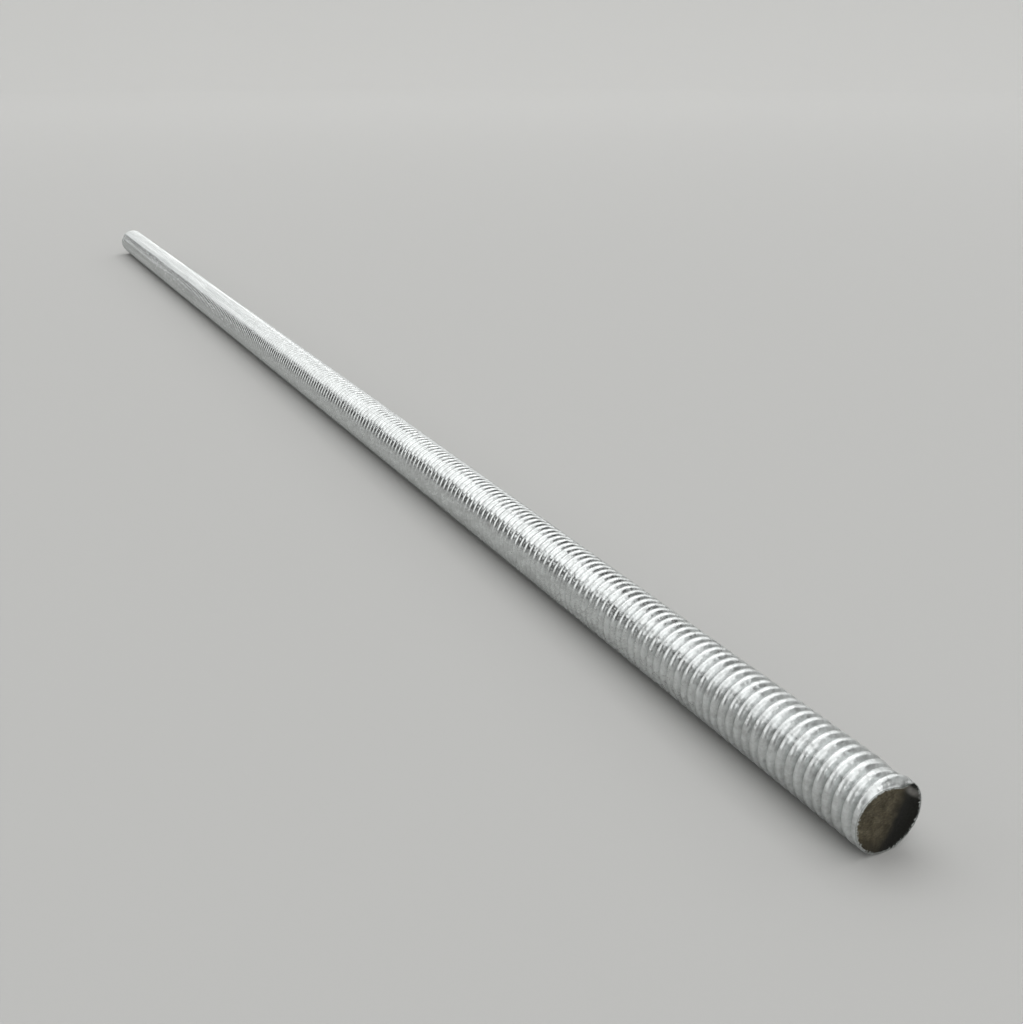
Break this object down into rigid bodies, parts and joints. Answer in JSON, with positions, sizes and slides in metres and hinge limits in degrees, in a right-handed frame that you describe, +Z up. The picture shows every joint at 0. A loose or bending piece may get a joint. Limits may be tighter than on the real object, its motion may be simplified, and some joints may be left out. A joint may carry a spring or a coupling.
{
  "type": "threaded rod",
  "caption": "Straight zinc-plated steel rod with a rolled metric thread along its whole length, cut off square at both ends.",
  "frame": {"origin": "on the rod's axis, halfway between its two cut ends", "axes": "+X along the rod towards the second cut end, +Z up as the rod lies, +Y across it"},
  "size_m": [0.275, 0.0058, 0.0058],
  "materials": {
    "zinc_plated_steel": "bright zinc plate on a rolled thread, with bare brown-grey steel on the two cut ends"
  },
  "bodies": {
    "root": {"rod": "zinc_plated_steel"}
  },
  "joints": []
}
